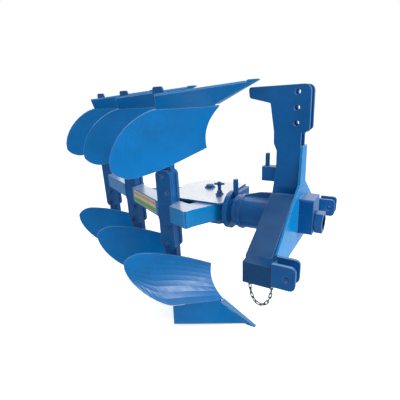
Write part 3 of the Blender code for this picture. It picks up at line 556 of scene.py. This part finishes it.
# Radius and height of the turned pieces, from the foot up
DECK_SINK = 0.0002           # each foot dips this far into the deck
WASHER = ((0.034, 0.0), (0.034, 0.004), (0.031, 0.006))
SCREW = ((0.024, 0.0), (0.024, 0.004), (0.016, 0.006), (0.016, 0.020), (0.010, 0.022), (0.010, 0.052),
         (0.013, 0.054), (0.013, 0.070), (0.009, 0.074))
SCREW_FROM_BOLT = Vector((0.123, -0.107, 0.0))
HANDLE = ((0.004, -0.001), (0.0062, 0.002), (0.0062, 0.057), (0.004, 0.060))
HANDLE_FROM_SCREW = Vector((-0.028, -0.010, 0.062))
HANDLE_WAY = (0.94, 0.34, 0.0)
LOCK_NUT = ((0.017, 0.0), (0.017, 0.012), (0.009, 0.014), (0.009, 0.030), (0.006, 0.032))
LOCK_NUT_FROM_SCREW = Vector((0.012, -0.036, 0.0))
DISC_BOLT = ((0.0085, -0.001), (0.0085, 0.003))
DISC_BOLT_CIRCLE = 0.078
DISC_BOLTS = 6
LOCK_WASHER_LIP = 0.004      # of the shaft's washer, past the shaft
LOCK_WASHER_REACH = 0.012


class PLOUGH_OT_deck_hardware(bpy.types.Operator):
    """Adds the washer of the pivot bolt, the screw with its handle and the lock nut on the deck"""

    bl_idname = "plough.deck_hardware"
    bl_label = "Deck Hardware"

    def execute(self, context):
        bolt = middle_of("pivot_bolt")
        foot = Vector((bolt.x, bolt.y, low_high("upper_deck_plate")[1].z - DECK_SINK))
        screw = foot + SCREW_FROM_BOLT
        handle = Matrix.Translation(screw + HANDLE_FROM_SCREW) @ turn_from_z(HANDLE_WAY)
        work = bmesh.new()
        add_ring(work, WASHER, Matrix.Translation(foot), 28)
        add_ring(work, SCREW, Matrix.Translation(screw), 24)
        add_ring(work, HANDLE, handle, 14)
        add_ring(work, LOCK_NUT, Matrix.Translation(screw + LOCK_NUT_FROM_SCREW), 6)
        new_piece("deck_screws", mesh_of("deck_screws", work), "bolt_enamel", "frame")
        return {"FINISHED"}


class PLOUGH_OT_head_fittings(bpy.types.Operator):
    """Adds the bolts of the turning head's disc and the lock washer of the shaft"""

    bl_idname = "plough.head_fittings"
    bl_label = "Head Fittings"

    def execute(self, context):
        forward = turn_from_z((1, 0, 0))
        front = low_high("turning_head")[1].x - 0.0004
        work = bmesh.new()
        for step in range(DISC_BOLTS):
            angle = math.tau * (step + 0.5) / DISC_BOLTS
            at = Vector((front, DISC_BOLT_CIRCLE * math.cos(angle),
                         AXIS_HEIGHT + DISC_BOLT_CIRCLE * math.sin(angle)))
            add_ring(work, DISC_BOLT, Matrix.Translation(at) @ forward, 6)
        mesh = mesh_of("turning_head_bolts", work)
        new_piece("turning_head_bolts", mesh, "bolt_enamel", "frame")
        nut_front = low_high("shaft_nut")[1].x
        shaft_low, shaft_high = low_high("turnover_shaft")
        radius = (shaft_high.z - shaft_low.z) / 2 + LOCK_WASHER_LIP
        reach = min(CAD_BOX_HIGH.x - nut_front, LOCK_WASHER_REACH)
        washer = ((radius, 0.0), (radius, reach * 0.3), (radius * 0.92, reach * 0.4))
        at = Matrix.Translation((nut_front - 0.0002, 0, AXIS_HEIGHT))
        work = bmesh.new()
        add_ring(work, washer, at @ forward, 32)
        mesh = mesh_of("shaft_lock_washer", work)
        new_piece("shaft_lock_washer", mesh, "shaft_steel", "frame")
        return {"FINISHED"}


BEARING_WELD_INSET = 0.014   # the bead cuts the square bearing's corners by this much
HUB_WELD_SPAN = (0.100, 0.005)           # behind the housing's front, under each mast plate
CLEVIS_WELD_LOW = 0.004
CLEVIS_WELD_TOP = 0.020
BEAM_WELD_INSET = 0.003
SMALL_WELD = 0.8             # of the weld radius
WELD_SHARP = 60.0            # degrees, above which a bead's facets stay sharp


class PLOUGH_OT_headstock_welds(bpy.types.Operator):
    """Adds the weld beads of the headstock"""

    bl_idname = "plough.headstock_welds"
    bl_label = "Headstock Welds"

    def execute(self, context):
        radius = context.scene.plough_hardware.weld_radius
        draw = random.Random(4)
        work = bmesh.new()
        low, high = low_high("front_bearing")
        x = low.x
        inset = BEARING_WELD_INSET
        corners = [(x, low.y, low.z + inset), (x, low.y, high.z - inset), (x, low.y + inset, high.z),
                   (x, high.y - inset, high.z), (x, high.y, high.z - inset), (x, high.y, low.z + inset),
                   (x, high.y - inset, low.z), (x, low.y + inset, low.z), (x, low.y, low.z + inset)]
        add_weld(work, corners, radius, draw)
        hub_front = low_high("bearing_housing")[1].x
        for side in ("right", "left"):
            plate_low, plate_high = low_high(f"{side}_mast_plate")
            y = plate_low.y if side == "right" else plate_high.y
            ends = [(hub_front - back, y, plate_low.z) for back in HUB_WELD_SPAN]
            add_weld(work, ends, radius, draw)
            for place in ("inner", "outer"):
                low, high = low_high(f"{side}_{place}_clevis_plate")
                inner_faces = [y for y in (low.y, high.y) if abs(y) < CAD_BOX_HIGH.y - radius]
                for y in inner_faces:
                    ends = [(low.x, y, low.z + CLEVIS_WELD_LOW), (low.x, y, high.z - CLEVIS_WELD_TOP)]
                    add_weld(work, ends, radius * SMALL_WELD, draw)
        rib_low, rib_high = low_high("bearing_rib")
        for y in (rib_low.y, rib_high.y):
            ends = [(rib_low.x, y, rib_low.z), (rib_high.x, y, rib_low.z)]
            add_weld(work, ends, radius * SMALL_WELD, draw)
        mesh = mesh_of("headstock_welds", work, WELD_SHARP)
        new_piece("headstock_welds", mesh, "bright_enamel", "headstock")
        return {"FINISHED"}


class PLOUGH_OT_frame_welds(bpy.types.Operator):
    """Adds the weld beads where the beams meet the leg brackets"""

    bl_idname = "plough.frame_welds"
    bl_label = "Frame Welds"

    def execute(self, context):
        radius = context.scene.plough_hardware.weld_radius
        draw = random.Random(7)
        work = bmesh.new()
        beam_low, beam_high = low_high("front_beam")
        for position in POSITIONS:
            low, high = low_high(f"{position}_leg_bracket")
            sides = []
            if position != "rear":
                sides.append(low.x)
            if position != "front":
                sides.append(high.x)
            for x in sides:
                for z in (beam_low.z, beam_high.z):
                    ends = [(x, low.y + BEAM_WELD_INSET, z), (x, high.y - BEAM_WELD_INSET, z)]
                    add_weld(work, ends, radius, draw)
                for y in (low.y, high.y):
                    add_weld(work, [(x, y, beam_low.z), (x, y, beam_high.z)], radius, draw)
        mesh = mesh_of("frame_welds", work, WELD_SHARP)
        new_piece("frame_welds", mesh, "frame_enamel", "frame")
        return {"FINISHED"}


LABEL_COLOURS = {"label_cream": (0.72, 0.66, 0.42), "label_green": (0.16, 0.40, 0.10),
                 "label_peach": (0.62, 0.36, 0.24)}
LABEL_PARTS = (              # name, ends along the beam from bracket to bracket, bottom and top as shares of
    # half the beam's height, how far it stands proud, material
    ("label_sheet", 0.16, 0.80, -0.82, 0.84, 0.0006, "label_cream"),
    ("label_green_band", 0.17, 0.79, -0.72, -0.12, 0.0009, "label_green"),
    ("label_warm_band", 0.17, 0.79, 0.30, 0.62, 0.0009, "label_peach"),
)
LABEL_SINK = 0.0002          # the back of each sheet dips this far into the beam


class PLOUGH_OT_label(bpy.types.Operator):
    """Adds the blank label on the near side of the front beam"""

    bl_idname = "plough.label"
    bl_label = "Blank Label"

    def execute(self, context):
        for name, colour in LABEL_COLOURS.items():
            enamel(name, bpy.data.node_groups["sprayed_enamel"], colour, 0.30, 0.1, 0.10)
        front, middle = middle_of("front_leg_bracket"), middle_of("middle_leg_bracket")
        along = (middle - front).normalized()
        out = Vector((-along.y, along.x, 0.0))
        beam_low, beam_high = low_high("front_beam")
        half = (beam_high.z - beam_low.z) / 2
        for name, start, end, bottom, top, proud, material in LABEL_PARTS:
            corners = []
            for share, level in ((start, bottom), (end, bottom), (end, top), (start, top)):
                point = front + out * (half + proud) + (middle - front) * share
                corners.append(Vector((point.x, point.y, AXIS_HEIGHT + half * level)))
            mesh = sheet_of(name, corners, -out * (proud + LABEL_SINK))
            new_piece(name, mesh, material, "frame")
        return {"FINISHED"}


def sheet_of(name, corners, depth):
    """A thin closed sheet between four corners and the same corners moved by depth."""
    work = bmesh.new()
    face = [work.verts.new(corner) for corner in corners]
    back = [work.verts.new(corner + depth) for corner in corners]
    work.faces.new(face)
    work.faces.new(list(reversed(back)))
    for index in range(4):
        after = (index + 1) % 4
        work.faces.new((face[index], back[index], back[after], face[after]))
    return mesh_of(name, work)


class PLOUGH_OT_chain(bpy.types.Operator):
    """Adds the links of the hitch pin's safety chain"""

    bl_idname = "plough.chain"
    bl_label = "Safety Chain"

    def execute(self, context):
        size = context.scene.plough_hardware
        low, high = low_high("hitch_chain")
        route = chain_route(low, high)
        wire = size.link_wire / 2
        half = size.link_pitch / 2
        bend = size.link_wire * 1.05
        work = bmesh.new()
        places = even_places(route, size.link_pitch)
        for number, (point, along) in enumerate(places):
            side = Vector((0, 1, 0))
            flat = side.cross(along).normalized()
            across = (side, flat) if number % 2 else (flat, -side)
            turned = Matrix((across[0], along, across[1])).transposed().to_4x4()
            add_link(work, Matrix.Translation(point) @ turned, half, bend, wire)
        mesh = mesh_of("hitch_chain_links", work)
        made = new_piece("hitch_chain_links", mesh, "chain_steel", "headstock")
        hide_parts("hitch_chain")
        return {"FINISHED"}


def chain_route(low, high, count=60):
    """The chain's middle line: the loop that the CAD rope follows."""
    radius = (high.y - low.y) / 2
    middle, half = (low.x + high.x) / 2, (high.x - low.x) / 2 - radius
    drop = high.z - low.z - radius
    points = []
    for number in range(count):
        turn = math.pi * number / (count - 1)
        points.append(Vector((middle + half * math.cos(turn), (low.y + high.y) / 2,
                              high.z - drop * math.sin(turn) ** 0.8)))
    return points


def even_places(points, pitch):
    """Points a pitch apart along a line, each with the direction there."""
    lengths = [0.0]
    for start, end in zip(points, points[1:]):
        lengths.append(lengths[-1] + (end - start).length)
    count = int(lengths[-1] // pitch)
    spare = (lengths[-1] - count * pitch) / 2
    places = []
    for number in range(count):
        want = spare + pitch * (number + 0.5)
        index = next(i for i in range(1, len(lengths)) if lengths[i] >= want)
        start, end = points[index - 1], points[index]
        share = (want - lengths[index - 1]) / (lengths[index] - lengths[index - 1])
        places.append((start.lerp(end, share), (end - start).normalized()))
    return places


def add_link(work, place, half, bend, wire, steps=10, sides=8):
    """One oval link, long along the place's Y."""
    path = []
    for end in (1, -1):
        for step in range(steps + 1):
            angle = math.pi * step / steps + (0.0 if end == 1 else math.pi)
            out = Vector((math.cos(angle), math.sin(angle), 0))
            path.append((Vector((0, end * (half - bend + wire), 0)) + out * bend, out))
    rings = []
    for point, out in path:
        ring = []
        for side in range(sides):
            angle = math.tau * side / sides
            offset = out * wire * math.cos(angle) + Vector((0, 0, wire * math.sin(angle)))
            ring.append(work.verts.new(place @ (point + offset)))
        rings.append(ring)
    for index, ring in enumerate(rings):
        after_ring = rings[(index + 1) % len(rings)]
        for side in range(sides):
            after = (side + 1) % sides
            work.faces.new((ring[side], ring[after], after_ring[after], after_ring[side]))


# ---------------------------------------------------------------- stage

CAMERA_PLACE = Vector((1.188, -1.519, 1.270))
CAMERA_AZIMUTH = 0.5592
CAMERA_PITCH = 0.3344
CAMERA_ROLL = -0.0515
CAMERA_LENS = 28.4
CAMERA_SHIFT = (0.0083, 0.0173)
TOP_LIGHT_PLACE = (0.3, 0.2, 3.6)
TOP_LIGHT_SIZE = (3.2, 3.2)
FRONT_LIGHT_PLACE = (3.4, -0.5, 1.9)
FRONT_LIGHT_SIZE = (1.8, 1.8)
GLINT_AT = (0.244, -0.189, 0.195)        # on the lower front mouldboard
GLINT_FROM = (1.714, -1.802, 0.481)      # from here that spot mirrors the strip light to the camera
GLINT_SIZE = (0.70, 0.07)
FLOOR_HALF = 30.0
FLOOR_DROP = 0.0005          # below the plough's lowest point
FLOOR_GLOW = 0.68            # brings the lit floor to white for the camera, and leaves the shadow


def camera_matrix():
    right = Vector((math.cos(CAMERA_AZIMUTH), math.sin(CAMERA_AZIMUTH), 0.0))
    flat = Vector((-math.sin(CAMERA_AZIMUTH), math.cos(CAMERA_AZIMUTH), 0.0))
    forward = flat * math.cos(CAMERA_PITCH) - Vector((0, 0, math.sin(CAMERA_PITCH)))
    up = right.cross(forward)
    tilted_right = right * math.cos(CAMERA_ROLL) + up * math.sin(CAMERA_ROLL)
    tilted_up = up * math.cos(CAMERA_ROLL) - right * math.sin(CAMERA_ROLL)
    turn = Matrix((tilted_right, tilted_up, -forward)).transposed().to_4x4()
    return Matrix.Translation(CAMERA_PLACE) @ turn


def area_light(name, place, target, size, power):
    data = bpy.data.lights.new(name, "AREA")
    data.shape = "RECTANGLE"
    data.size, data.size_y = size
    data.energy = power
    made = bpy.data.objects.new(name, data)
    bpy.context.scene.collection.objects.link(made)
    made.location = place
    made.rotation_euler = (Vector(target) - Vector(place)).to_track_quat("-Z", "Y").to_euler()
    return made


class PLOUGH_OT_stage(bpy.types.Operator):
    """Adds the floor, the lights, the pale surroundings and the camera"""

    bl_idname = "plough.stage"
    bl_label = "Studio"

    def execute(self, context):
        scene = context.scene
        studio = scene.plough_studio
        scene.view_settings.view_transform = "Standard"
        floor_mesh = bpy.data.meshes.new("studio_floor")
        work = bmesh.new()
        bmesh.ops.create_grid(work, x_segments=8, y_segments=8, size=FLOOR_HALF)
        work.to_mesh(floor_mesh)
        work.free()
        floor = bpy.data.objects.new("studio_floor", floor_mesh)
        scene.collection.objects.link(floor)
        floor.location.z = CAD_BOX_LOW.z - FLOOR_DROP
        floor_mesh.materials.append(floor_material())
        make_world(scene, studio.fill)
        middle = (CAD_BOX_LOW + CAD_BOX_HIGH) / 2
        area_light("top_light", TOP_LIGHT_PLACE, middle, TOP_LIGHT_SIZE, studio.key_power)
        area_light("front_light", FRONT_LIGHT_PLACE, middle, FRONT_LIGHT_SIZE, studio.front_power)
        strip = area_light("strip_light", GLINT_FROM, GLINT_AT, GLINT_SIZE, studio.glint)
        strip.visible_diffuse = False
        glinting = bpy.data.collections.new("glinting_board")
        glinting.objects.link(bpy.data.objects["front_lower_mouldboard"])
        strip.light_linking.receiver_collection = glinting
        data = bpy.data.cameras.new("camera")
        data.lens = CAMERA_LENS
        data.shift_x, data.shift_y = CAMERA_SHIFT
        camera = bpy.data.objects.new("camera", data)
        scene.collection.objects.link(camera)
        camera.matrix_world = camera_matrix()
        scene.camera = camera
        return {"FINISHED"}


def floor_material():
    """Matt white that the camera sees as white where no shadow falls."""
    made = bpy.data.materials.new("studio_paper")
    made.use_nodes = True
    tree = made.node_tree
    tree.nodes.clear()
    out = tree.nodes.new("ShaderNodeOutputMaterial")
    matt = add_node(tree, "ShaderNodeBsdfDiffuse", in_Color=(0.82, 0.83, 0.84, 1.0))
    glow = add_node(tree, "ShaderNodeEmission", in_Color=(1.0, 1.0, 1.0, 1.0))
    rays = tree.nodes.new("ShaderNodeLightPath")
    seen = maths(tree, "MULTIPLY", rays.outputs["Is Camera Ray"], FLOOR_GLOW)
    tree.links.new(seen, glow.inputs["Strength"])
    both = tree.nodes.new("ShaderNodeAddShader")
    tree.links.new(matt.outputs[0], both.inputs[0])
    tree.links.new(glow.outputs[0], both.inputs[1])
    tree.links.new(both.outputs[0], out.inputs["Surface"])
    return made


def make_world(scene, fill):
    """Even light from all round, which cameras and reflections see as white."""
    world = bpy.data.worlds.new("pale_surroundings")
    scene.world = world
    world.use_nodes = True
    tree = world.node_tree
    tree.nodes.clear()
    out = tree.nodes.new("ShaderNodeOutputWorld")
    soft = add_node(tree, "ShaderNodeBackground", in_Color=(0.92, 0.96, 1.0, 1.0), in_Strength=fill)
    white = add_node(tree, "ShaderNodeBackground", in_Color=(1.0, 1.0, 1.0, 1.0), in_Strength=1.0)
    mix = tree.nodes.new("ShaderNodeMixShader")
    rays = tree.nodes.new("ShaderNodeLightPath")
    seen = maths(tree, "MAXIMUM", rays.outputs["Is Camera Ray"], rays.outputs["Is Glossy Ray"])
    seen = maths(tree, "MAXIMUM", seen, rays.outputs["Is Transmission Ray"])
    tree.links.new(seen, mix.inputs[0])
    tree.links.new(soft.outputs[0], mix.inputs[1])
    tree.links.new(white.outputs[0], mix.inputs[2])
    tree.links.new(mix.outputs[0], out.inputs["Surface"])


# ---------------------------------------------------------------- add-on

OPERATORS = (PLOUGH_OT_paint, PLOUGH_OT_leg_bolts, PLOUGH_OT_landside_bolts, PLOUGH_OT_deck_hardware,
             PLOUGH_OT_head_fittings, PLOUGH_OT_headstock_welds, PLOUGH_OT_frame_welds, PLOUGH_OT_label,
             PLOUGH_OT_chain, PLOUGH_OT_stage)


class PLOUGH_PT_panel(bpy.types.Panel):
    """Lists the plough's settings and pieces"""

    bl_label = "Turnover Plough"
    bl_idname = "PLOUGH_PT_panel"
    bl_space_type = "VIEW_3D"
    bl_region_type = "UI"
    bl_category = "Plough"

    def draw(self, context):
        layout = self.layout
        scene = context.scene
        for settings in (scene.plough_paint, scene.plough_hardware, scene.plough_studio):
            box = layout.box()
            for name in settings.bl_rna.properties.keys():
                if name not in ("name", "rna_type"):
                    box.prop(settings, name)
        for operator in OPERATORS:
            layout.operator(operator.bl_idname)


CLASSES = (PaintSettings, HardwareSettings, StudioSettings, *OPERATORS, PLOUGH_PT_panel)


def register():
    for item in CLASSES:
        bpy.utils.register_class(item)
    bpy.types.Scene.plough_paint = bpy.props.PointerProperty(type=PaintSettings)
    bpy.types.Scene.plough_hardware = bpy.props.PointerProperty(type=HardwareSettings)
    bpy.types.Scene.plough_studio = bpy.props.PointerProperty(type=StudioSettings)


def unregister():
    del bpy.types.Scene.plough_studio
    del bpy.types.Scene.plough_hardware
    del bpy.types.Scene.plough_paint
    for item in reversed(CLASSES):
        bpy.utils.unregister_class(item)


def main():
    register()
    for operator in OPERATORS:
        group, name = operator.bl_idname.split(".")
        getattr(getattr(bpy.ops, group), name)()
    bpy.context.view_layer.update()


if __name__ == "__main__":
    main()
